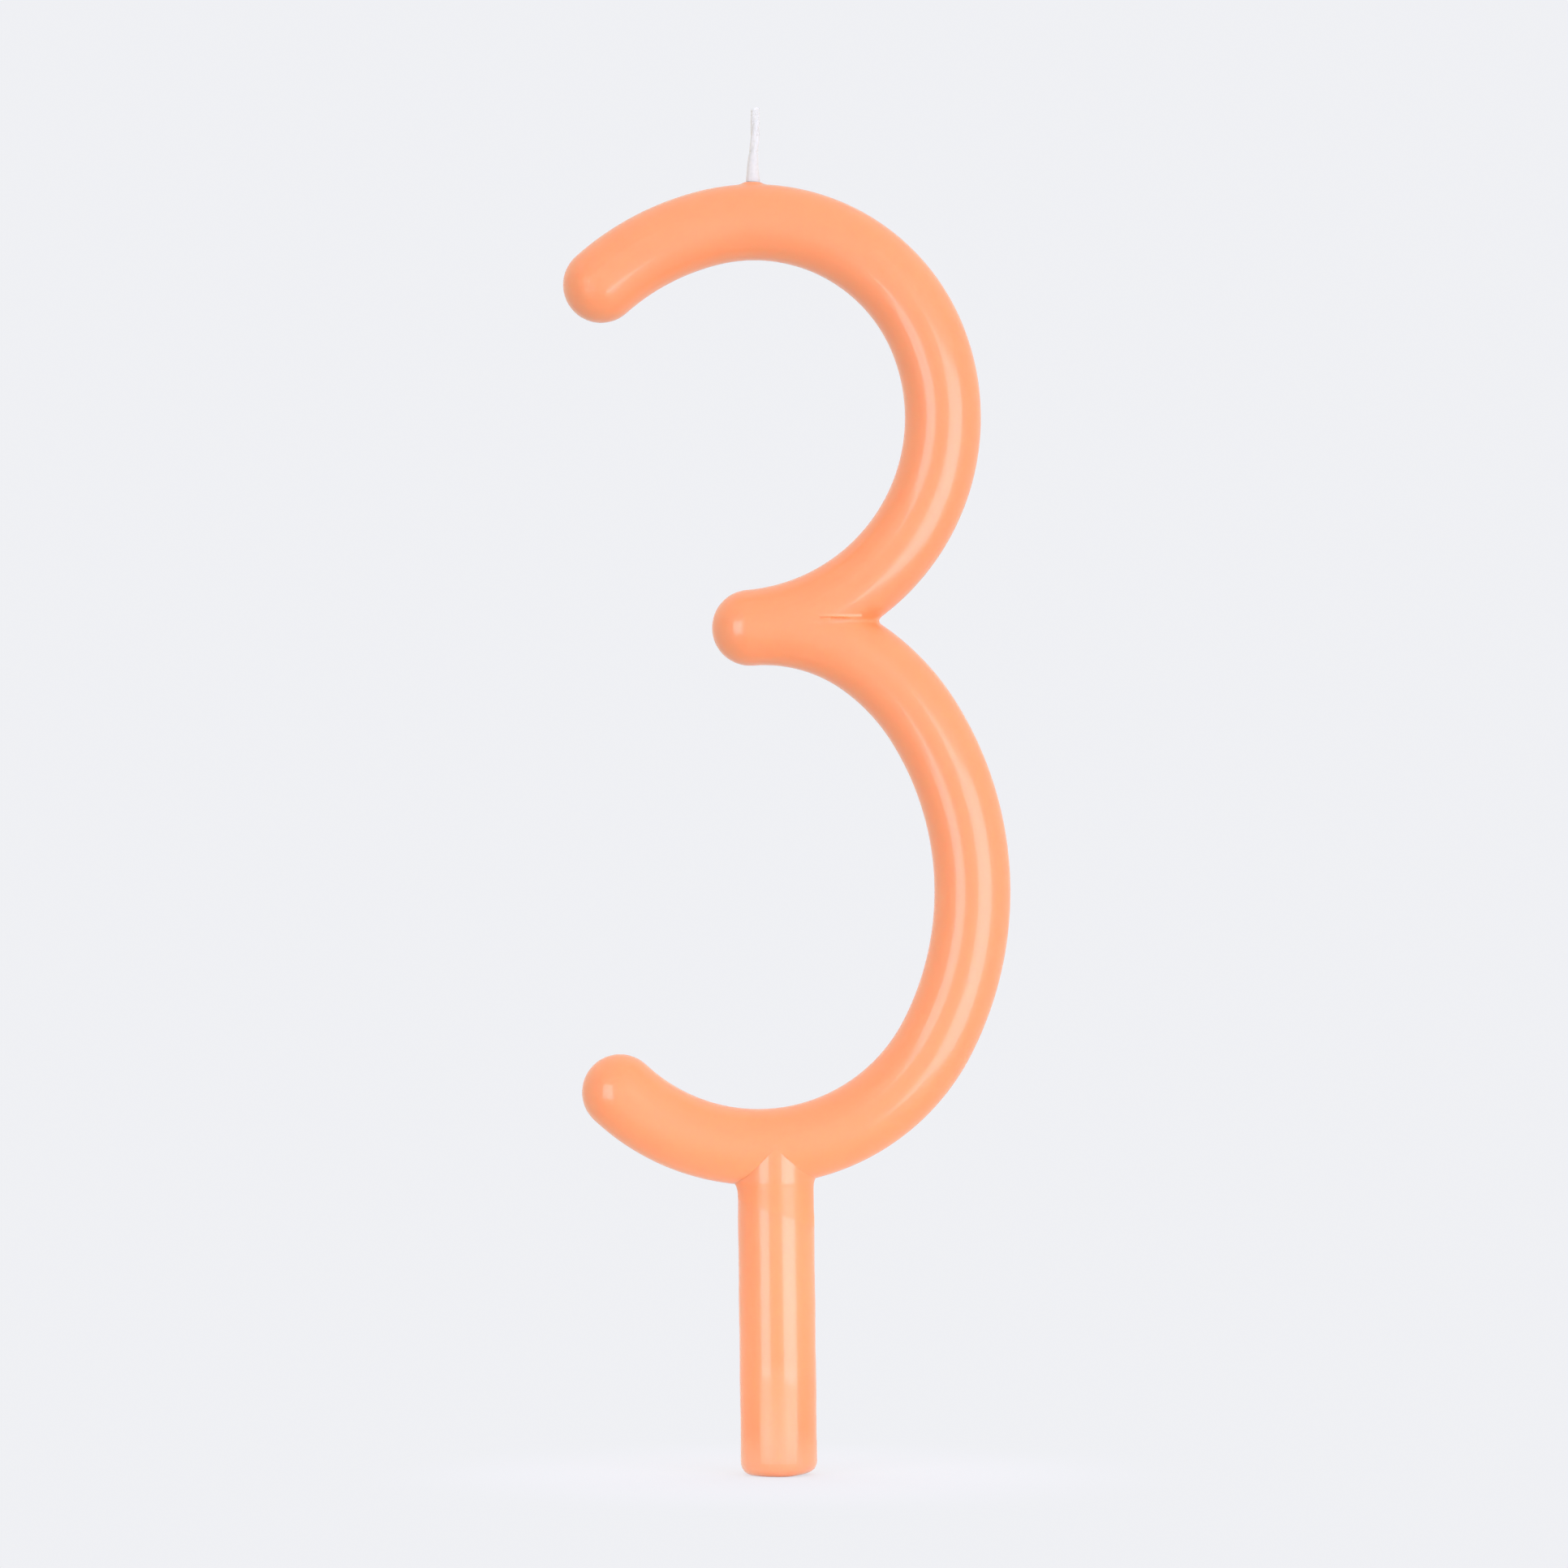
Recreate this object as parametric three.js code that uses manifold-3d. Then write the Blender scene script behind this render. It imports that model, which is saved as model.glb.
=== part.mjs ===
/**
 * Number candle: the figure 3, cast in wax as one round bar bent into two bowls, on a round wax
 * stem that is pushed into a cake, with a wick that stands up from the figure's crown.
 *
 * Millimetres. +Z runs up the stem, the figure's face looks along -Y and +X is to its right.
 * The origin is the centre of the stem's flat foot.
 */

import * as THREE from 'three';
import { mergeVertices } from 'three/addons/utils/BufferGeometryUtils.js';
import Module from 'manifold-3d';

const wasm = await Module();
wasm.setup();

// Figure: both bowls leave the tip of the tongue in one direction and part at the waist.
// Each bowl is a row of arcs that run smoothly into each other, with their turns in degrees.
const BAR_DIAMETER = 10;
const TONGUE_HEADING = 4.8;
const UPPER_SIDE_RADIUS = 27.6;
const UPPER_SIDE_ANGLE = 106.9;
const UPPER_CROWN_RADIUS = 24.5;
const UPPER_CROWN_ANGLE = 82.1;
const UPPER_ARM_RADIUS = 33.4;
const UPPER_ARM_ANGLE = 27.9;
const LOWER_WAIST_RADIUS = 22.7;
const LOWER_WAIST_ANGLE = 41.2;
const LOWER_SHOULDER_RADIUS = 29.1;
const LOWER_SHOULDER_ANGLE = 21.6;
const LOWER_SIDE_RADIUS = 42;
const LOWER_SIDE_ANGLE = 58.9;
const LOWER_ARM_RADIUS = 26.4;
const LOWER_ARM_ANGLE = 106.4;

// Stem: the visible length is from the foot to the underside of the lower bowl.
const STEM_LENGTH = 37.9;
const STEM_DIAMETER = 10;
const STEM_LEAN = 0.7;
const FOOT_ROUNDING = 1.6;
const TONGUE_FROM_FOOT = 3.83;

// Wick: it leaves the crown, and inside it follows the right-hand side of both bowls.
const WICK_DIAMETER = 1.35;
const WICK_EXPOSED = 10;
const WICK_TOP_ASIDE = 0.2;
const WICK_SWAY = 0.08;
const WICK_BEND = 4;
const WICK_WAIST_CUT = 16;
const WICK_END_BEFORE_STEM = 6;
const FLARE_DIAMETER = 2;
const FLARE_HEIGHT = 3.4;
const CROWN_NUB_DIAMETER = 2.8;
const CROWN_NUB_HEIGHT = 0.4;

// Clearances between pieces
const SEAT_GAP = 0.3;
const WICK_GAP = 0.3;

// Fineness of the facets
const BAR_SIDES = 24;
const BAR_STEP = 2.4;
const WICK_SIDES = 8;
const WICK_STEP = 2.3;
const WICK_POINT_SPACING = 7;
const EXTREME_SAMPLES = 2000;

const WAX_COLOUR = 0xffa578;
const STEM_COLOUR = 0xff9f74;
const COTTON_COLOUR = 0xf2f1ee;

const BAR_RADIUS = BAR_DIAMETER / 2;
const STEM_RADIUS = STEM_DIAMETER / 2;
const WICK_RADIUS = WICK_DIAMETER / 2;
const { degToRad } = THREE.MathUtils;

/** A curve in the XZ plane made of arcs. A positive turn bends to the left as the curve runs. */
class ArcChain extends THREE.Curve {
  constructor(start, heading, arcs) {
    super();
    this.pieces = [];
    this.total = 0;
    let from = start.clone();
    let angle = degToRad(heading);
    for (const { radius, turn } of arcs) {
      const bend = degToRad(turn);
      const piece = { from, angle, radius, side: Math.sign(bend), length: Math.abs(bend) * radius };
      this.pieces.push(piece);
      from = this.pointOn(piece, piece.length);
      angle += bend;
      this.total += piece.length;
    }
  }

  pointOn({ from, angle, radius, side }, length) {
    const reached = angle + (side * length) / radius;
    const x = from.x + side * radius * (Math.sin(reached) - Math.sin(angle));
    const z = from.z - side * radius * (Math.cos(reached) - Math.cos(angle));
    return new THREE.Vector3(x, 0, z);
  }

  pointAtLength(length) {
    let left = length;
    for (const piece of this.pieces) {
      if (left <= piece.length) return this.pointOn(piece, left);
      left -= piece.length;
    }
    const last = this.pieces.at(-1);
    return this.pointOn(last, last.length);
  }

  getPoint(t, target = new THREE.Vector3()) {
    return target.copy(this.pointAtLength(t * this.total));
  }

  /** How far along the curve its highest (sign 1) or lowest (sign -1) point lies. */
  lengthToExtreme(sign) {
    let best = 0;
    for (let i = 0; i <= EXTREME_SAMPLES; i += 1) {
      const length = (this.total * i) / EXTREME_SAMPLES;
      if (sign * this.pointAtLength(length).z > sign * this.pointAtLength(best).z) best = length;
    }
    return best;
  }
}

/** A round bar along a curve, closed by flat ends. */
function tube(path, radius, sides, step) {
  const section = new THREE.Shape().absarc(0, 0, radius, 0, 2 * Math.PI, false);
  const steps = Math.ceil(path.getLength() / step);
  return new THREE.ExtrudeGeometry(section, {
    steps,
    curveSegments: sides / 2,
    bevelEnabled: false,
    extrudePath: path,
  });
}

/** A ball whose rings line up with the sides of a bar that ends at its centre. */
function tipBall(path, t, radius, sides) {
  const ball = new THREE.SphereGeometry(radius, sides, sides / 2);
  const along = path.getTangent(t);
  const across = new THREE.Vector3(0, -1, 0);
  const placed = new THREE.Matrix4().makeBasis(across, along, across.clone().cross(along));
  return ball.applyMatrix4(placed.setPosition(path.getPoint(t)));
}

/** A profile of (radius, height) points turned round the Z axis. */
function turned(profile, sides) {
  return new THREE.LatheGeometry(profile, sides).rotateX(Math.PI / 2);
}

/** A closed geometry as a solid that can be joined and cut. */
function solidOf(geometry) {
  const bare = geometry.clone();
  bare.deleteAttribute('normal');
  bare.deleteAttribute('uv');
  const merged = mergeVertices(bare, 1e-4);
  const corners = merged.index.array;
  const kept = [];
  for (let i = 0; i < corners.length; i += 3) {
    const [a, b, c] = corners.slice(i, i + 3);
    if (a !== b && b !== c && c !== a) kept.push(a, b, c);
  }
  return new wasm.Manifold(new wasm.Mesh({
    numProp: 3,
    vertProperties: new Float32Array(merged.attributes.position.array),
    triVerts: new Uint32Array(kept),
  }));
}

/** A solid as a flat-shaded geometry. */
function geometryOf(solid) {
  const { vertProperties, triVerts } = solid.getMesh();
  const geometry = new THREE.BufferGeometry();
  geometry.setAttribute('position', new THREE.BufferAttribute(vertProperties, 3));
  geometry.setIndex(new THREE.BufferAttribute(triVerts, 1));
  geometry.computeVertexNormals();
  return geometry;
}

function piece(name, solid, material) {
  const mesh = new THREE.Mesh(geometryOf(solid), material);
  mesh.name = name;
  return mesh;
}

const upperArcs = [
  { radius: UPPER_SIDE_RADIUS, turn: UPPER_SIDE_ANGLE },
  { radius: UPPER_CROWN_RADIUS, turn: UPPER_CROWN_ANGLE },
  { radius: UPPER_ARM_RADIUS, turn: UPPER_ARM_ANGLE },
];
const lowerArcs = [
  { radius: LOWER_WAIST_RADIUS, turn: -LOWER_WAIST_ANGLE },
  { radius: LOWER_SHOULDER_RADIUS, turn: -LOWER_SHOULDER_ANGLE },
  { radius: LOWER_SIDE_RADIUS, turn: -LOWER_SIDE_ANGLE },
  { radius: LOWER_ARM_RADIUS, turn: -LOWER_ARM_ANGLE },
];

// The lower bowl's underside is a stem's length above the foot, so its lowest point places the figure.
const lowerAtZero = new ArcChain(new THREE.Vector3(), TONGUE_HEADING, lowerArcs);
const drop = lowerAtZero.pointAtLength(lowerAtZero.lengthToExtreme(-1)).z;
const tongueTip = new THREE.Vector3(-TONGUE_FROM_FOOT, 0, STEM_LENGTH + BAR_RADIUS - drop);
const upperLine = new ArcChain(tongueTip, TONGUE_HEADING, upperArcs);
const lowerLine = new ArcChain(tongueTip, TONGUE_HEADING, lowerArcs);
const crownLength = upperLine.lengthToExtreme(1);
const crown = upperLine.pointAtLength(crownLength);
const crownTop = crown.z + BAR_RADIUS;

// The wick ends short of the stem, which stands in the cake and never burns.
const wickEndLength = lowerLine.lengthToExtreme(-1) - WICK_END_BEFORE_STEM;

/** The wick's middle line: down through the crown, round the upper bowl, the waist and the lower bowl. */
function wickRoute() {
  const points = [
    new THREE.Vector3(crown.x + WICK_TOP_ASIDE, 0, crownTop + WICK_EXPOSED),
    new THREE.Vector3(crown.x - WICK_SWAY, 0, crownTop + WICK_EXPOSED / 2),
    new THREE.Vector3(crown.x + WICK_SWAY, 0, crownTop + WICK_EXPOSED / 4),
    new THREE.Vector3(crown.x, 0, crownTop),
    new THREE.Vector3(crown.x, 0, crown.z + BAR_RADIUS / 2),
  ];
  for (let at = crownLength - WICK_BEND; at > WICK_WAIST_CUT; at -= WICK_POINT_SPACING) {
    points.push(upperLine.pointAtLength(at));
  }
  for (let at = WICK_WAIST_CUT; at < wickEndLength; at += WICK_POINT_SPACING) {
    points.push(lowerLine.pointAtLength(at));
  }
  return new THREE.CatmullRomCurve3(points, false, 'centripetal');
}

const route = wickRoute();

/** The wax figure: two bent bars with round tips, a small nub at the crown, and the wick's channel. */
function makeFigure() {
  const upper = solidOf(tube(upperLine, BAR_RADIUS, BAR_SIDES, BAR_STEP));
  const lower = solidOf(tube(lowerLine, BAR_RADIUS, BAR_SIDES, BAR_STEP));
  const tips = [
    tipBall(upperLine, 0, BAR_RADIUS, BAR_SIDES),
    tipBall(upperLine, 1, BAR_RADIUS, BAR_SIDES),
    tipBall(lowerLine, 1, BAR_RADIUS, BAR_SIDES),
  ];
  const body = tips.reduce((sum, tip) => sum.add(solidOf(tip)), upper.add(lower));

  const nubProfile = [
    new THREE.Vector2(0, crown.z),
    new THREE.Vector2(CROWN_NUB_DIAMETER / 2, crown.z),
    new THREE.Vector2(CROWN_NUB_DIAMETER / 2, crownTop + CROWN_NUB_HEIGHT / 2),
    new THREE.Vector2(CROWN_NUB_DIAMETER / 2 - CROWN_NUB_HEIGHT / 2, crownTop + CROWN_NUB_HEIGHT),
    new THREE.Vector2(0, crownTop + CROWN_NUB_HEIGHT),
  ];
  const nub = turned(nubProfile, BAR_SIDES).translate(crown.x, 0, 0);

  const channelRadius = WICK_RADIUS + WICK_GAP;
  const channel = solidOf(tube(route, channelRadius, WICK_SIDES, WICK_STEP));
  const channelEnd = solidOf(tipBall(route, 1, channelRadius, WICK_SIDES));
  return body.add(solidOf(nub)).subtract(channel.add(channelEnd));
}

/** The stem: a round rod with a flat, round-edged foot, its top hollowed to seat under the lower bowl. */
function makeStem() {
  const outline = new THREE.Path();
  outline.moveTo(0, 0);
  outline.lineTo(STEM_RADIUS - FOOT_ROUNDING, 0);
  outline.absarc(STEM_RADIUS - FOOT_ROUNDING, FOOT_ROUNDING, FOOT_ROUNDING, -Math.PI / 2, 0, false);
  outline.lineTo(STEM_RADIUS, STEM_LENGTH + BAR_RADIUS);
  outline.lineTo(0, STEM_LENGTH + BAR_RADIUS);
  const rod = turned(outline.getPoints(3), BAR_SIDES);
  // Each level section slides to the left as it rises, so the foot stays level.
  const lean = new THREE.Matrix4().makeShear(0, 0, 0, 0, -Math.tan(degToRad(STEM_LEAN)), 0);
  rod.applyMatrix4(lean);
  const seat = tube(lowerLine, BAR_RADIUS + SEAT_GAP, BAR_SIDES, BAR_STEP);
  return solidOf(rod).subtract(solidOf(seat));
}

/** The wick: a primed cotton cord with a small flare of wax where it leaves the crown. */
function makeWick() {
  const cord = solidOf(tube(route, WICK_RADIUS, WICK_SIDES, WICK_STEP));
  const flareFoot = crownTop + CROWN_NUB_HEIGHT + WICK_GAP;
  const flareProfile = [
    new THREE.Vector2(0, flareFoot),
    new THREE.Vector2(FLARE_DIAMETER / 2, flareFoot),
    new THREE.Vector2(WICK_RADIUS, flareFoot + FLARE_HEIGHT),
    new THREE.Vector2(0, flareFoot + FLARE_HEIGHT),
  ];
  const flare = turned(flareProfile, BAR_SIDES / 2).translate(crown.x, 0, 0);
  return cord.add(solidOf(flare));
}

const wax = new THREE.MeshStandardMaterial({ color: WAX_COLOUR, roughness: 0.35, metalness: 0 });
const stemWax = new THREE.MeshStandardMaterial({ color: STEM_COLOUR, roughness: 0.3, metalness: 0 });
const cotton = new THREE.MeshStandardMaterial({ color: COTTON_COLOUR, roughness: 0.8, metalness: 0 });

const candle = new THREE.Group();
candle.add(piece('figure', makeFigure(), wax));
candle.add(piece('stem', makeStem(), stemWax));
candle.add(piece('wick', makeWick(), cotton));

export default candle;
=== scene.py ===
"""A number candle: a 3 of coral wax on its stem, with a cotton wick, lit by two softboxes."""

import math

import bpy
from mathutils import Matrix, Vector


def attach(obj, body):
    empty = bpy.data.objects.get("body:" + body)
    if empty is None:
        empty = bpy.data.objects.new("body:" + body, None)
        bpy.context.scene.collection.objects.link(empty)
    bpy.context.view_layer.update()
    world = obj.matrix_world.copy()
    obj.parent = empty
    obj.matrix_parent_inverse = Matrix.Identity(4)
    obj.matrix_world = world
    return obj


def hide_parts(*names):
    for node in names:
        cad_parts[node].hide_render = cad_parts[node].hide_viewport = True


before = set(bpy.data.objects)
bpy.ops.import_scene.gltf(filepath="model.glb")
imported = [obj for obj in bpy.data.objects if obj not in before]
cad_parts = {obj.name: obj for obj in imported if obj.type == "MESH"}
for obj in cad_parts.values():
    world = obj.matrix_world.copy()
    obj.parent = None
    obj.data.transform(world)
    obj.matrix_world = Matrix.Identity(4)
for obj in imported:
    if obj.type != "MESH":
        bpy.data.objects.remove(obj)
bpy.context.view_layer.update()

# Figure. One casting of coral paraffin wax: two round bars, bent in arcs, that share one tongue and
# part at the waist. They are shaped apart, melted into one skin and bored for the wick, and a small
# lip of wax is left in the crease where they part.
MM = 0.001
BAR_RADIUS = 5 * MM
BAR_SIDES = 72
ARC_STEP = 0.5 * MM
TIP_RINGS = 18
TONGUE_TIP = Vector((-3.83, 0, 111.01)) * MM
TONGUE_HEADING = 4.8
UPPER_ARCS = [(27.6, 106.9), (24.5, 82.1), (33.4, 27.9)]
LOWER_ARCS = [(22.7, -41.2), (29.1, -21.6), (42, -58.9), (26.4, -106.4)]
MELT_GRAIN = 0.34 * MM
CROWN_TOP = Vector((-3.28, 0, 169.16)) * MM
NUB_RADIUS = 1.35 * MM
NUB_HEIGHT = 0.3 * MM
NUB_DEPTH = 4 * MM
NUB_ASIDE = -0.25 * MM
NUB_ROUNDING = 0.3 * MM


def bare_hands():
    """Leaves edit mode and lets go of everything, so the next tool acts on its own piece alone."""
    if bpy.context.object and bpy.context.object.mode == "EDIT":
        bpy.ops.object.mode_set(mode="OBJECT")
    bpy.ops.object.select_all(action="DESELECT")


def take(piece):
    """Picks up one piece, as the only one in hand."""
    bare_hands()
    piece.select_set(True)
    bpy.context.view_layer.objects.active = piece


def pick(piece, wanted):
    """In edit mode, selects just the points whose place passes the test."""
    bpy.ops.mesh.select_all(action="DESELECT")
    bpy.ops.object.mode_set(mode="OBJECT")
    for point in piece.data.vertices:
        point.select = wanted(point.co)
    bpy.ops.object.mode_set(mode="EDIT")


def close_up(piece, smooth_angle=60):
    """Puts the place in the mesh, merges doubles, turns the faces outwards and shades the skin."""
    take(piece)
    bpy.ops.object.transform_apply(location=True, rotation=True, scale=True)
    bpy.ops.object.mode_set(mode="EDIT")
    bpy.ops.mesh.select_all(action="SELECT")
    bpy.ops.mesh.remove_doubles(threshold=0.002 * MM)
    bpy.ops.mesh.normals_make_consistent(inside=False)
    bpy.ops.object.mode_set(mode="OBJECT")
    bpy.ops.object.shade_smooth_by_angle(angle=math.radians(smooth_angle))


def heading_of(angle):
    """The direction in the figure's own plane that stands at this angle to the level."""
    return Vector((math.cos(math.radians(angle)), 0, math.sin(math.radians(angle))))


def bent_bar(name, arcs):
    """A round bar from the tongue's tip along its arcs, with a half ball at each end."""
    bare_hands()
    bpy.ops.mesh.primitive_uv_sphere_add(
        segments=BAR_SIDES, ring_count=2 * TIP_RINGS, radius=BAR_RADIUS,
        location=TONGUE_TIP, rotation=(0, math.radians(90 - TONGUE_HEADING), 0),
    )
    bar = bpy.context.object
    bar.name = name
    bpy.ops.object.transform_apply(location=True, rotation=True, scale=True)
    bpy.ops.object.mode_set(mode="EDIT")
    ahead = heading_of(TONGUE_HEADING)
    bpy.ops.mesh.bisect(plane_co=TONGUE_TIP, plane_no=ahead, clear_outer=True, threshold=0.01 * MM)
    pick(bar, lambda place: (place - TONGUE_TIP).dot(ahead) > -0.01 * MM)

    end, angle = TONGUE_TIP.copy(), TONGUE_HEADING
    for radius, turn in arcs:
        side = 1 if turn > 0 else -1
        to_centre = heading_of(angle + 90 * side) * radius * MM
        centre = end + to_centre
        length = radius * MM * math.radians(abs(turn))
        bpy.ops.mesh.spin(
            steps=round(length / ARC_STEP), angle=math.radians(turn), center=centre, axis=(0, 1, 0),
        )
        angle += turn
        end = centre - heading_of(angle + 90 * side) * radius * MM

    ahead = heading_of(angle)
    for ring in range(TIP_RINGS):
        low, high = (math.radians(90 * step / TIP_RINGS) for step in (ring, ring + 1))
        rise = ahead * BAR_RADIUS * (math.sin(high) - math.sin(low))
        shrink = max(math.cos(high), 1e-4) / math.cos(low)
        bpy.ops.mesh.extrude_region_move(TRANSFORM_OT_translate={"value": rise})
        bpy.ops.transform.resize(
            value=(shrink, shrink, shrink),
            center_override=end + ahead * BAR_RADIUS * math.sin(high),
        )
    bpy.ops.mesh.merge(type="CENTER")
    close_up(bar)
    return bar


upper_bar = bent_bar("upper_bar", UPPER_ARCS)
lower_bar = bent_bar("lower_bar", LOWER_ARCS)

bare_hands()
bpy.ops.mesh.primitive_cylinder_add(
    vertices=48, radius=NUB_RADIUS, depth=NUB_DEPTH,
    location=CROWN_TOP + Vector((NUB_ASIDE, 0, NUB_HEIGHT - NUB_DEPTH / 2)),
)
nub = bpy.context.object
bpy.ops.object.transform_apply(location=True, rotation=True, scale=True)
bpy.ops.object.mode_set(mode="EDIT")
pick(nub, lambda place: place.z > CROWN_TOP.z)
bpy.ops.mesh.bevel(offset=NUB_ROUNDING, segments=4)
close_up(nub)

take(upper_bar)
lower_bar.select_set(True)
nub.select_set(True)
bpy.ops.object.join()
figure = bpy.context.object
figure.name = "wax_figure"
melt = figure.modifiers.new("melt", "REMESH")
melt.mode = "VOXEL"
melt.voxel_size = MELT_GRAIN
bpy.ops.object.modifier_apply(modifier="melt")
soften = figure.modifiers.new("soften", "SMOOTH")
soften.factor = 0.5
soften.iterations = 4
bpy.ops.object.modifier_apply(modifier="soften")
close_up(figure)


def point_along(arcs, distance):
    """The bar's middle line, this far from the tongue's tip."""
    at, angle, left = TONGUE_TIP.copy(), TONGUE_HEADING, distance
    for radius, turn in arcs:
        side = 1 if turn > 0 else -1
        part = min(math.degrees(left / (radius * MM)), abs(turn))
        centre = at + heading_of(angle + 90 * side) * radius * MM
        angle += side * part
        at = centre - heading_of(angle + 90 * side) * radius * MM
        left -= radius * MM * math.radians(part)
        if left <= 0:
            break
    return at


# the wick's way through the wax, from the crown round the upper bowl, the waist and the lower bowl
WICK_WAY = [CROWN_TOP + Vector((0, 0, drop)) * MM for drop in (2, 0, -2.5)]
WICK_WAY += [point_along(UPPER_ARCS, at * MM) for at in range(54, 18, -7)]
WICK_WAY += [point_along(LOWER_ARCS, at * MM) for at in (*range(16, 80, 7), 82)]
BORE_RADIUS = 0.72 * MM


def cord_along(name, places, radius, sides):
    """A plain round cord through these places, as a closed mesh."""
    bare_hands()
    bpy.ops.curve.primitive_bezier_curve_add()
    cord = bpy.context.object
    cord.name = name
    spline = cord.data.splines[0]
    spline.bezier_points.add(len(places) - len(spline.bezier_points))
    for knot, place in zip(spline.bezier_points, places):
        knot.co = place
        knot.handle_left_type = knot.handle_right_type = "AUTO"
    cord.data.bevel_depth = radius
    cord.data.bevel_resolution = sides // 4 - 1
    cord.data.resolution_u = 8
    cord.data.use_fill_caps = True
    bpy.ops.object.convert(target="MESH")
    close_up(bpy.context.object)
    return bpy.context.object


def cut_away(piece, cutter):
    """Cuts one piece with another and throws the cutter away."""
    take(piece)
    cut = piece.modifiers.new("cut", "BOOLEAN")
    cut.operation = "DIFFERENCE"
    cut.solver = "EXACT"
    cut.object = cutter
    bpy.ops.object.modifier_apply(modifier="cut")
    bpy.data.objects.remove(cutter)


cut_away(figure, cord_along("bore", WICK_WAY, BORE_RADIUS, 12))

# the lip: a slim blade of wax along the crease, tapered at both ends and half sunk in the valley.
# Each place has its way along the tongue, and how far the blade lies up from the valley's middle,
# stands proud, and is thick and deep, from its middle out.
LIP = [
    (8.8, 0.8, -0.03, 0.03, 0.1), (10, 0.76, 0.08, 0.1, 0.3), (11.8, 0.68, 0.22, 0.14, 0.6),
    (12.8, 0.63, 0.36, 0.18, 0.8), (14.2, 0.58, 0.43, 0.2, 0.9), (15.4, 0.54, 0.45, 0.19, 0.9),
    (15.7, 0.54, 0.05, 0.03, 0.3),
]


def lip_place(along, up, proud, thick, deep):
    """The middle of the blade at one of its places."""
    upper, lower = point_along(UPPER_ARCS, along * MM), point_along(LOWER_ARCS, along * MM)
    skin = math.sqrt(BAR_RADIUS ** 2 - ((upper - lower).length / 2 - up * MM) ** 2)
    return (upper + lower) / 2 + Vector((0, (deep - proud) * MM - skin, up * MM))


bare_hands()
bpy.ops.mesh.primitive_circle_add(
    vertices=20, radius=1 * MM, fill_type="NGON", rotation=(0, math.pi / 2, 0))
lip = bpy.context.object
bpy.ops.object.transform_apply(location=True, rotation=True, scale=True)
bpy.ops.object.mode_set(mode="EDIT")
bpy.ops.transform.resize(value=(1, LIP[0][4], LIP[0][3]), center_override=(0, 0, 0))
bpy.ops.transform.translate(value=lip_place(*LIP[0]))
for last, this in zip(LIP, LIP[1:]):
    here = lip_place(*this)
    bpy.ops.mesh.extrude_region_move(TRANSFORM_OT_translate={"value": here - lip_place(*last)})
    bpy.ops.transform.resize(value=(1, this[4] / last[4], this[3] / last[3]), center_override=here)
close_up(lip)
round_off = lip.modifiers.new("round_off", "SUBSURF")
round_off.levels = round_off.render_levels = 1
bpy.ops.object.modifier_apply(modifier="round_off")
take(figure)
weld = figure.modifiers.new("weld", "BOOLEAN")
weld.operation = "UNION"
weld.solver = "EXACT"
weld.object = lip
bpy.ops.object.modifier_apply(modifier="weld")
bpy.data.objects.remove(lip)
close_up(figure)


class Wire:
    """One output of a node. Sums on it add Math nodes, and node() adds any other kind."""

    def __init__(self, tree, output=None):
        self.tree = tree
        self.output = output

    def node(self, kind, settings=None, inputs=None, out=0):
        """Adds a node: first its settings, then the values or links of its sockets."""
        made = self.tree.nodes.new(kind)
        for key, value in (settings or {}).items():
            setattr(made, key, value)
        for key, value in (inputs or {}).items():
            if isinstance(value, Wire):
                self.tree.links.new(value.output, made.inputs[key])
            else:
                made.inputs[key].default_value = value
        return Wire(self.tree, made.outputs[out] if made.outputs else None)

    def sum(self, operation, first, second):
        """Adds one Math node."""
        return self.node("ShaderNodeMath", {"operation": operation}, {0: first, 1: second})

    def __add__(self, other):
        return self.sum("ADD", self, other)

    def __radd__(self, other):
        return self.sum("ADD", other, self)

    def __sub__(self, other):
        return self.sum("SUBTRACT", self, other)

    def __rsub__(self, other):
        return self.sum("SUBTRACT", other, self)

    def __mul__(self, other):
        return self.sum("MULTIPLY", self, other)

    def __rmul__(self, other):
        return self.sum("MULTIPLY", other, self)


def new_finish(name):
    """An empty material, and a loose wire to start its nodes from."""
    finish = bpy.data.materials.new(name)
    finish.use_nodes = True
    finish.node_tree.nodes.clear()
    return finish, Wire(finish.node_tree)


def blend_colours(share, one, other):
    """Goes from the first colour to the other as the share goes from 0 to 1."""
    return share.node("ShaderNodeMix", {"data_type": "RGBA"}, {0: share, 6: one, 7: other}, out=2)


def grain(place, scale, detail, roughness=0.5):
    """A soft noise over the surface."""
    return place.node("ShaderNodeTexNoise", None, {
        "Vector": place, "Scale": scale, "Detail": detail, "Roughness": roughness}, out=0)


def raised(height, strength, depth):
    """The surface's normal where the height stands this deep in it."""
    return height.node("ShaderNodeBump", None, {
        "Strength": strength, "Distance": depth, "Height": height})


def ways_of(vector):
    """The three parts of a vector, each as a wire: to the right, to the back and up."""
    parts = vector.node("ShaderNodeSeparateXYZ", None, {"Vector": vector}).output.node.outputs
    return [Wire(vector.tree, parts[axis]) for axis in "XYZ"]


def soft_range(value, low, high):
    """Rises softly from 0 at the low value to 1 at the high one, or falls if low is the greater."""
    return value.node("ShaderNodeMapRange", {"interpolation_type": "SMOOTHSTEP"}, {
        "Value": value, "From Min": low, "From Max": high})


def near_spot(place, spot, out_of, well_in):
    """Rises from 0 to 1 on the way in to a spot. All its sizes are in millimetres."""
    away = place.node("ShaderNodeVectorMath", {"operation": "DISTANCE"}, {
        0: place, 1: Vector(spot) * MM}, out="Value")
    return soft_range(away * (1 / MM), out_of, well_in)


def near_height(up, height, out_of, well_in):
    """The same, on the way in to a height."""
    return soft_range(up.sum("ABSOLUTE", up - height, 0), out_of, well_in)


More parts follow.
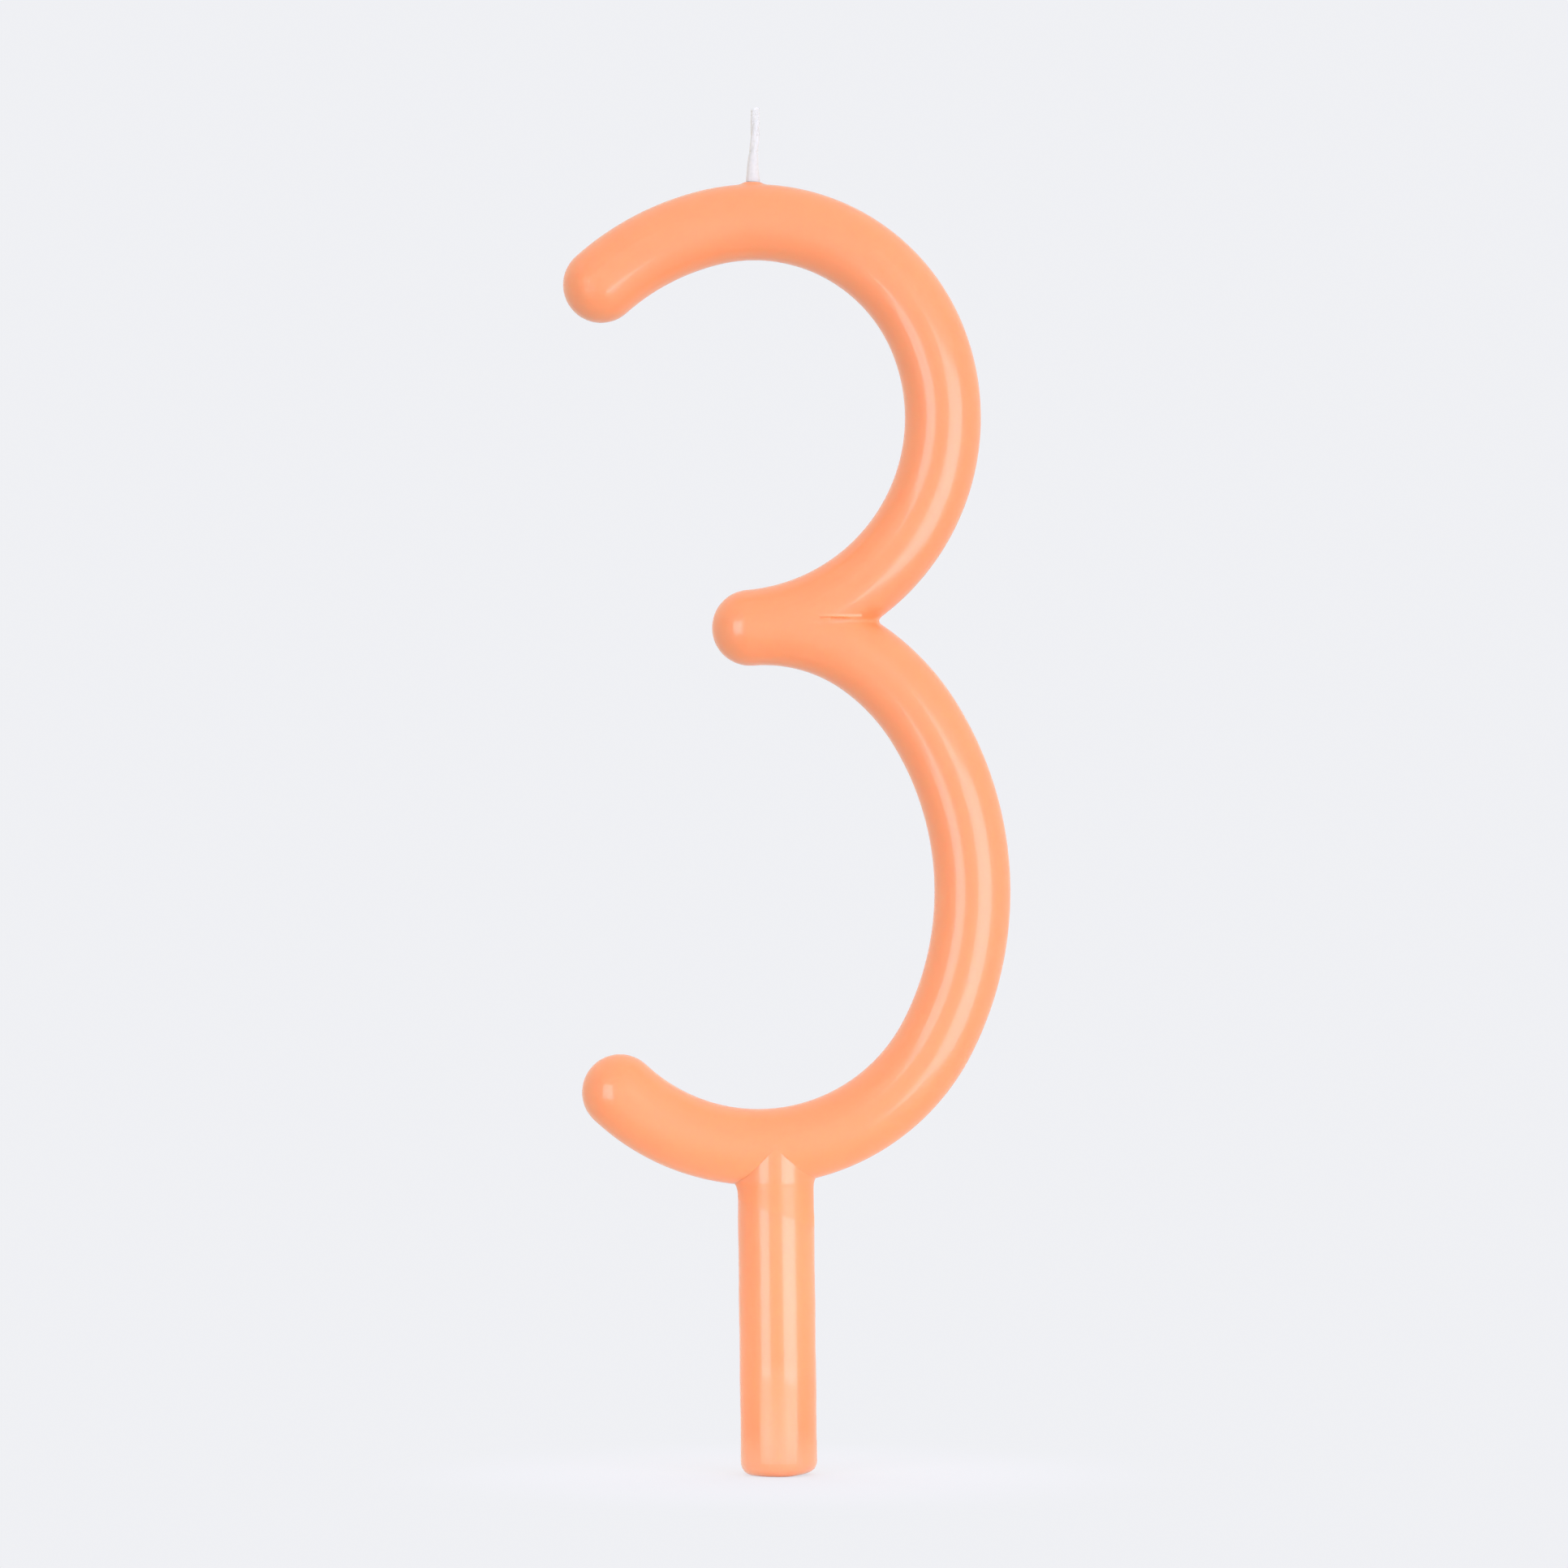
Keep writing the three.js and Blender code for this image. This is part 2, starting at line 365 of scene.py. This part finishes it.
# the wax's colours, a darker tone painted as shade in the crease at the waist, a paler one painted
# as a highlight on the lip's edge, and how far and how deep light wanders in it
WAX_DEEP = (1, 0.307, 0.0965, 1)
WAX_PALE = (1, 0.328, 0.11, 1)
CREASE_SHADE_TONE = (1, 0.253, 0.0575, 1)
LIP_HIGHLIGHT_TONE = (1, 0.48, 0.23, 1)
WAX_REACH = (1, 0.6, 0.4)
WAX_DEPTH = 0.25 * MM
# in millimetres: a dull spot near the upper tip, the crotch at the waist and the valley below the
# lip, where shade is painted, the lip's edge, where a highlight is painted, and how far to the
# right the lip ends
DULL_SPOT = (-24.94, -4.7, 156.06)
CROTCH = (11.9, -2.6, 112.5)
LIP_EDGE_HEIGHT = 112.57
VALLEY_HEIGHT = 112
LIP_END = 10.95

figure_wax, start = new_finish("coral_wax")
place = start.node("ShaderNodeTexCoord", out="Object")
clouds = grain(place, 90, 2)
right, back, up = (way * (1 / MM) for way in ways_of(place))
lip_side = soft_range(right, LIP_END, LIP_END - 0.3) * soft_range(back, 0, -1)
# painted highlight: a paler tone along the lip's upper edge stands in for light catching it
lip_highlight = lip_side * soft_range(right, 4.7, 10.2) * near_height(up, LIP_EDGE_HEIGHT, 0.24, 0.08)
# painted shade: a darker tone in the crotch at the waist and in the valley under the lip, which
# also lose their coat
under_lip_shade = lip_side * soft_range(right, 4, 7.2) * near_height(up, VALLEY_HEIGHT, 0.5, 0.1)
crease_shade_and_dull = start.sum("MAXIMUM", near_spot(place, CROTCH, 2.6, 0.4), under_lip_shade)
wax_tone = blend_colours(clouds, WAX_DEEP, WAX_PALE)
# painted shade in the crease and under the lip
wax_tone = blend_colours(0.32 * crease_shade_and_dull, wax_tone, CREASE_SHADE_TONE)
# the painted highlight on the lip's edge
wax_tone = blend_colours(lip_highlight, wax_tone, LIP_HIGHLIGHT_TONE)
glossy = (1 - near_spot(place, DULL_SPOT, 2.2, 0.8)) * (1 - crease_shade_and_dull)
wax_shader = start.node("ShaderNodeBsdfPrincipled", None, {
    "Base Color": wax_tone, "Roughness": 0.4 + 0.08 * clouds, "IOR": 1.5,
    "Normal": raised(grain(place, 260, 1, 0.4), 0.3, 0.05 * MM),
    "Coat Weight": 0.55 * glossy, "Coat Roughness": 0.15, "Coat IOR": 1.5,
    "Subsurface Weight": 0.85, "Subsurface Radius": WAX_REACH, "Subsurface Scale": WAX_DEPTH,
})
start.node("ShaderNodeOutputMaterial", None, {"Surface": wax_shader})
figure.data.materials.clear()
figure.data.materials.append(figure_wax)
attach(figure, "root")
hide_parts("figure")

# Stem. A plain round wax rod, pushed into the cake. Its foot is cut flat and rounded, more so on
# the right, and its top is mitred to the lower bowl and melted on, which leaves a fine ridge in
# each corner.
STEM_TOP = 43.5 * MM
STEM_LEAN = math.tan(math.radians(0.7))
STEM_RINGS = 86
STEM_SINK = 0.5 * MM
# the rest in millimetres: the rod's radius, the radii and heights of its foot, how much higher that
# is cut on the right, the waist whose gloss is rubbed off and how much thinner the rod is there,
# the height of the ridge along the mitre, and the lowest point and the bend of the lower bowl's
# middle line
STEM_RADIUS = 5
FOOT_PROFILE = [
    (3.4, 0), (3.9, 0.06), (4.3, 0.22), (4.62, 0.5), (4.84, 0.9), (4.96, 1.35), (STEM_RADIUS, 1.8),
]
FOOT_SLANT = 0.34
WAIST_LOW, WAIST_HIGH = 34.1, 38.5
WAIST_DEPTH = 0.03
RIDGE_HEIGHT = 0.42
BOWL_LOW_X, BOWL_LOW_Z = -2.72, 42.91
BOWL_BEND = LOWER_ARCS[-1][0]


def draw_up(profile):
    """Draws the picked ring up through a profile of radii and heights in millimetres."""
    for (radius, height), (wider, higher) in zip(profile, profile[1:]):
        rise, growth = (higher - height) * MM, wider / radius
        bpy.ops.mesh.extrude_region_move(TRANSFORM_OT_translate={"value": (0, 0, rise)})
        bpy.ops.transform.resize(value=(growth, growth, 1), center_override=(0, 0, 0))


bare_hands()
bpy.ops.mesh.primitive_circle_add(
    vertices=BAR_SIDES, radius=FOOT_PROFILE[0][0] * MM, fill_type="NGON", location=(0, 0, 0))
stem = bpy.context.object
stem.name = "wax_stem"
bpy.ops.object.mode_set(mode="EDIT")
bpy.ops.mesh.inset(thickness=0.6 * MM)
bpy.ops.mesh.inset(thickness=0.9 * MM)
bpy.ops.mesh.inset(thickness=0.9 * MM)
pick(stem, lambda place: place.length > 3.3 * MM)
draw_up(FOOT_PROFILE)
rise = (STEM_TOP - FOOT_PROFILE[-1][1] * MM) / STEM_RINGS
for ring in range(STEM_RINGS):
    bpy.ops.mesh.extrude_region_move(TRANSFORM_OT_translate={"value": (0, 0, rise)})
bpy.ops.mesh.edge_face_add()
close_up(stem)


def smooth_step(low, high, value):
    """Rises softly from 0 at the low value to 1 at the high one."""
    share = min(max((value - low) / (high - low), 0), 1)
    return share * share * (3 - 2 * share)


# hand work on the side: slow waves, a waist where the gloss is rubbed off, a ridge of wax along
# the mitre, and a foot that is cut higher on the right
for point in stem.data.vertices:
    x, y, z = point.co / MM
    out = math.hypot(x, y)
    if out > STEM_RADIUS - 0.1:
        swell = 0.02 * math.sin(0.6 * z + 0.6) + 0.006 * math.sin(1.7 * z + 1.5 * x / out)
        waist = smooth_step(WAIST_LOW - 0.1, WAIST_LOW + 0.3, z)
        waist *= 1 - smooth_step(WAIST_HIGH - 0.2, WAIST_HIGH, z)
        swell -= WAIST_DEPTH * waist
        swell -= WAIST_DEPTH * smooth_step(39, 41, z)
        mitre = BOWL_LOW_Z + (x - BOWL_LOW_X) ** 2 / (2 * BOWL_BEND) - abs(x)
        ridge = math.exp(-max(mitre - z, 0) / 0.45) * smooth_step(3.6, 4.9, abs(x))
        swell += RIDGE_HEIGHT * ridge
        x, y = x * (1 + swell / out), y * (1 + swell / out)
    z += FOOT_SLANT * smooth_step(0.5, 5, x) * (1 - smooth_step(0, 2.5, z))
    point.co = Vector((x - STEM_LEAN * z, y, z)) * MM

# the lower bowl's bar once more, drawn in a little, cuts the top so that it sinks into the bowl
bowl_cutter = bent_bar("bowl_cutter", LOWER_ARCS)
bpy.ops.object.mode_set(mode="EDIT")
bpy.ops.mesh.select_all(action="SELECT")
bpy.ops.transform.shrink_fatten(value=-STEM_SINK)
bpy.ops.object.mode_set(mode="OBJECT")
cut_away(stem, bowl_cutter)
close_up(stem)

STEM_DEEP = (1, 0.307, 0.0975, 1)
STEM_PALE = (1, 0.326, 0.1115, 1)
# the paler tone painted on the foot: a highlight on its front and light from the floor all round
# its lowest part
FOOT_HIGHLIGHT_TONE = (1, 0.425, 0.2, 1)
# in millimetres: the strip of the front that fingers rub, where a highlight is also painted, how
# far up the foot its gloss is gone, and the two ends of the painted highlight
STRIP_LEFT, STRIP_RIGHT = -2.75, 2.5
FOOT_TOP = 13.5
FOOT_HIGHLIGHT_LOW, FOOT_HIGHLIGHT_HIGH = 1.5, 15.5


def even_range(value, low, high, least=0, most=1):
    """Goes at an even pace from the least at the low value to the most at the high one."""
    return value.node("ShaderNodeMapRange", None, {
        "Value": value, "From Min": low, "From Max": high, "To Min": least, "To Max": most})


stem_wax, start = new_finish("glossy_coral_wax")
place = start.node("ShaderNodeTexCoord", out="Object")
clouds = grain(place, 110, 2)
right, back, up = (way * (1 / MM) for way in ways_of(place))
rubbed_waist = even_range(up + 0.35 * right, WAIST_LOW, WAIST_LOW + 0.4)
rubbed_waist = rubbed_waist * even_range(up, WAIST_HIGH, WAIST_HIGH - 0.2)
# the front strip, where the gloss is rubbed off and a highlight is painted on the foot
rubbed_and_highlit_strip = soft_range(right, STRIP_LEFT, STRIP_LEFT + 0.5)
rubbed_and_highlit_strip = rubbed_and_highlit_strip * soft_range(right, STRIP_RIGHT, STRIP_RIGHT - 0.4) * soft_range(back, 0, -1)
rubbed_foot = rubbed_and_highlit_strip * even_range(up + 0.2 * right, FOOT_TOP, FOOT_TOP - 1.5)
rubbed = start.sum("MAXIMUM", rubbed_waist, rubbed_foot)
# painted highlight: a paler tone over the front of the foot stands in for its wide highlight, and a
# paler tone all round the lowest 7 mm, stronger towards the bottom, stands in for light from the
# floor
foot_highlight = rubbed_and_highlit_strip * soft_range(up, FOOT_HIGHLIGHT_LOW, FOOT_HIGHLIGHT_LOW + 0.4)
foot_highlight = foot_highlight * soft_range(up, FOOT_HIGHLIGHT_HIGH, FOOT_HIGHLIGHT_HIGH - 2.5) * even_range(up, 13, 3, 0.3, 1)
foot_highlight = start.sum("MAXIMUM", foot_highlight, 0.75 * soft_range(up, 7, 0.3))
stem_tone = blend_colours(foot_highlight, blend_colours(clouds, STEM_DEEP, STEM_PALE), FOOT_HIGHLIGHT_TONE)
stem_shader = start.node("ShaderNodeBsdfPrincipled", None, {
    "Base Color": stem_tone, "Roughness": 0.38 + 0.06 * clouds, "IOR": 1.48,
    "Normal": raised(grain(place, 300, 1), 0.4, 0.06 * MM),
    "Coat Weight": 0.6 - 0.48 * rubbed, "Coat Roughness": 0.14, "Coat IOR": 1.5,
    "Subsurface Weight": 0.85, "Subsurface Radius": WAX_REACH, "Subsurface Scale": WAX_DEPTH,
})
start.node("ShaderNodeOutputMaterial", None, {"Surface": stem_shader})
stem.data.materials.clear()
stem.data.materials.append(stem_wax)
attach(stem, "root")
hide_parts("stem")

# Wick. Three plies of white cotton, twisted, dipped in clear wax and cut off at a slant. The wax
# that crept up it when the figure was poured has left a white flare at its foot.
PLY_RADIUS = 0.46 * MM
PLY_OFFSET = 0.16 * MM
PLY_TWIST = 9 * MM
WICK_FOOT = 166.4 * MM
WICK_HEIGHT = 14 * MM
WICK_CUT = 179 * MM
WICK_GRAIN = 0.06 * MM
RUN_RADIUS = 0.64 * MM
FLARE_PROFILE = [
    (0.94, 169.2), (0.92, 169.8), (0.82, 170.5), (0.75, 171.4), (0.69, 172.4), (0.63, 173.2),
]
plies = []
for turn in (0, 120, 240):
    bare_hands()
    way_out = Vector((math.cos(math.radians(turn)), math.sin(math.radians(turn)), 0))
    bpy.ops.mesh.primitive_circle_add(
        vertices=16, radius=PLY_RADIUS, fill_type="NGON", location=way_out * PLY_OFFSET)
    ply = bpy.context.object
    bpy.ops.object.transform_apply(location=True, rotation=True, scale=True)
    screw = ply.modifiers.new("twist", "SCREW")
    screw.angle = 2 * math.pi * WICK_HEIGHT / PLY_TWIST
    screw.screw_offset = WICK_HEIGHT
    screw.steps = screw.render_steps = 90
    bpy.ops.object.modifier_apply(modifier="twist")
    bpy.ops.object.mode_set(mode="EDIT")
    bpy.ops.mesh.select_all(action="SELECT")
    bpy.ops.mesh.remove_doubles(threshold=0.001 * MM)
    bpy.ops.mesh.select_all(action="DESELECT")
    bpy.ops.mesh.select_non_manifold()
    bpy.ops.mesh.edge_face_add()
    bpy.ops.mesh.select_all(action="SELECT")
    bpy.ops.mesh.normals_make_consistent(inside=False)
    bpy.ops.object.mode_set(mode="OBJECT")
    plies.append(ply)

wick_foot = Vector((CROWN_TOP.x, 0, WICK_FOOT))
bare_hands()
bpy.ops.mesh.primitive_circle_add(
    vertices=32, radius=FLARE_PROFILE[0][0] * MM, fill_type="NGON",
    location=(0, 0, FLARE_PROFILE[0][1] * MM - WICK_FOOT))
flare = bpy.context.object
bpy.ops.object.mode_set(mode="EDIT")
draw_up(FLARE_PROFILE)
close_up(flare)
for ply in plies:
    ply.select_set(True)
bpy.ops.object.join()
wick = bpy.context.object
wick.name = "cotton_wick"
dip = wick.modifiers.new("dip", "REMESH")
dip.mode = "VOXEL"
dip.voxel_size = WICK_GRAIN
bpy.ops.object.modifier_apply(modifier="dip")
settle = wick.modifiers.new("settle", "SMOOTH")
settle.factor = 0.5
settle.iterations = 6
bpy.ops.object.modifier_apply(modifier="settle")
# above the crown it leans a little to the left, then back to the right, and is set on its foot
for point in wick.data.vertices:
    up = point.co.z / MM
    sway = 0.3 * smooth_step(4, 11, up) - 0.17 + 0.03 * math.sin(0.9 * up)
    point.co += Vector((sway * smooth_step(2.2, 3.2, up) * MM, 0, 0)) + wick_foot
bpy.ops.object.mode_set(mode="EDIT")
bpy.ops.mesh.select_all(action="SELECT")
bpy.ops.mesh.bisect(
    plane_co=(wick_foot.x, 0, WICK_CUT), plane_no=Vector((-0.3, 0.1, 1)).normalized(),
    clear_outer=True, use_fill=True, threshold=0.0001 * MM)
close_up(wick, 50)

# its run inside the wax, one round cord that the modelled plies end in
run_top = wick_foot + Vector((0, 0, 0.3 * MM))
run = cord_along("wick_run", [run_top, *WICK_WAY[2:]], RUN_RADIUS, 12)
take(wick)
run.select_set(True)
bpy.ops.object.join()

COTTON_DEEP = (0.56, 0.55, 0.46, 1)
COTTON_PALE = (0.67, 0.655, 0.55, 1)
cotton, start = new_finish("primed_cotton")
place = start.node("ShaderNodeTexCoord", out="Object")
fibres = grain(place, 3500, 2)
cotton_shader = start.node("ShaderNodeBsdfPrincipled", None, {
    "Base Color": blend_colours(fibres, COTTON_DEEP, COTTON_PALE),
    "Roughness": 0.6 + 0.2 * fibres, "Normal": raised(fibres, 0.3, 0.03 * MM),
    "Subsurface Weight": 0.8, "Subsurface Radius": (1, 1, 1), "Subsurface Scale": 1.6 * MM,
})
start.node("ShaderNodeOutputMaterial", None, {"Surface": cotton_shader})
wick.data.materials.clear()
wick.data.materials.append(cotton)
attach(wick, "root")
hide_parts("wick")

# Stage. A pale floor, one large softbox to the right of the camera and a smaller one to its left,
# and a white surround, as on the white ground that the candle was photographed on.
FLOOR_RADIUS = 60 * MM
PALE = (0.868, 0.875, 0.905, 1)
FLOOR_PAINT = (0.9, 0.9, 0.88, 1)
bare_hands()
bpy.ops.mesh.primitive_circle_add(
    vertices=96, radius=FLOOR_RADIUS, fill_type="NGON", location=(0, 0, 0))
floor = bpy.context.object
floor.name = "floor"
floor_finish, start = new_finish("pale_floor")


def sight_rays(wire):
    """1 for what the camera sees, straight, mirrored or through the wax, and 0 for lighting."""
    rays = wire.node("ShaderNodeLightPath", out="Is Camera Ray")
    outputs = rays.output.node.outputs
    seen = rays
    for kind in ("Is Glossy Ray", "Is Transmission Ray"):
        seen = wire.sum("MAXIMUM", seen, Wire(wire.tree, outputs[kind]))
    return seen


place = start.node("ShaderNodeTexCoord", out="Object")
from_foot = start.node("ShaderNodeVectorMath", {"operation": "LENGTH"}, {0: place}, out="Value")
rim = soft_range(from_foot, 0.3 * FLOOR_RADIUS, 0.95 * FLOOR_RADIUS)
floor_paint = start.node("ShaderNodeBsdfDiffuse", None, {"Color": FLOOR_PAINT})
floor_glow = start.node("ShaderNodeEmission", None, {"Color": PALE, "Strength": 1})
floor_share = sight_rays(start) * (0.75 + 0.25 * rim)
floor_mix = start.node("ShaderNodeMixShader", None, {0: floor_share, 1: floor_paint, 2: floor_glow})
start.node("ShaderNodeOutputMaterial", None, {"Surface": floor_mix})
floor.data.materials.append(floor_finish)

WHITE = (1, 1, 1, 1)
FRONT_COLOUR = (0.9, 1, 1.8, 1)
LAMP_COLOUR = (0.96, 0.96, 1.15)
world = bpy.data.worlds.new("surround")
bpy.context.scene.world = world
world.use_nodes = True
world.node_tree.nodes.clear()
start = Wire(world.node_tree)
right, back, up = ways_of(start.node("ShaderNodeTexCoord", out="Generated"))
from_behind = even_range(back, 0, 0.4, 0, 0.85)
from_above = even_range(up, 0.25, 0.65, 0, 0.61)
from_sides = even_range(right, 0.3, 0.8, 0, 0.19) + even_range(right, -0.5, -0.95, 0, 0.24)
from_front = even_range(back, 0.3, -0.9, 0, 0.365) * (1 + 0.55 * (right + up))
soft_light = start.node("ShaderNodeBackground", None, {
    "Color": WHITE, "Strength": from_behind + from_above + from_sides})
front_light = start.node("ShaderNodeBackground", None, {
    "Color": FRONT_COLOUR, "Strength": from_front})
soft_light = start.node("ShaderNodeAddShader", None, {0: soft_light, 1: front_light})
shown = start.node("ShaderNodeBackground", None, {"Color": PALE, "Strength": 1})
sky = start.node("ShaderNodeMixShader", None, {0: sight_rays(start), 1: soft_light, 2: shown})
start.node("ShaderNodeOutputWorld", None, {"Surface": sky})

AIM = Vector((0.63, 0, 90.53)) * MM
LAMP_DISTANCE = 1.0
LAMP_GLOW = 3.44


def softbox(name, azimuth, elevation, width, height):
    """A lamp that faces the candle. Its place and size are angles, in degrees, seen from there."""
    turn, rise = math.radians(azimuth), math.radians(elevation)
    away = Vector((
        math.sin(turn) * math.cos(rise), -math.cos(turn) * math.cos(rise), math.sin(rise)))
    bare_hands()
    bpy.ops.object.light_add(type="AREA", location=AIM + away * LAMP_DISTANCE)
    lamp = bpy.context.object
    lamp.name = name
    lamp.rotation_euler = away.to_track_quat("Z", "Y").to_euler()
    lamp.data.shape = "RECTANGLE"
    lamp.data.size = 2 * LAMP_DISTANCE * math.tan(math.radians(width / 2))
    lamp.data.size_y = 2 * LAMP_DISTANCE * math.tan(math.radians(height / 2))
    lamp.data.energy = LAMP_GLOW * 4 * lamp.data.size * lamp.data.size_y
    lamp.data.color = LAMP_COLOUR
    lamp.visible_camera = False


softbox("left_softbox", azimuth=-35.75, elevation=1, width=28.5, height=38)
softbox("right_softbox", azimuth=39, elevation=-6, width=41, height=43)

CAMERA_DISTANCE = 1.0
VIEW_WIDTH = 205.53 * MM
SENSOR_WIDTH = 36
bare_hands()
bpy.ops.object.camera_add(
    location=AIM - Vector((0, CAMERA_DISTANCE, 0)), rotation=(math.pi / 2, 0, 0))
camera = bpy.context.object
camera.data.sensor_width = SENSOR_WIDTH
camera.data.lens = SENSOR_WIDTH * CAMERA_DISTANCE / VIEW_WIDTH
bpy.context.scene.camera = camera
bpy.context.scene.view_settings.view_transform = "Standard"
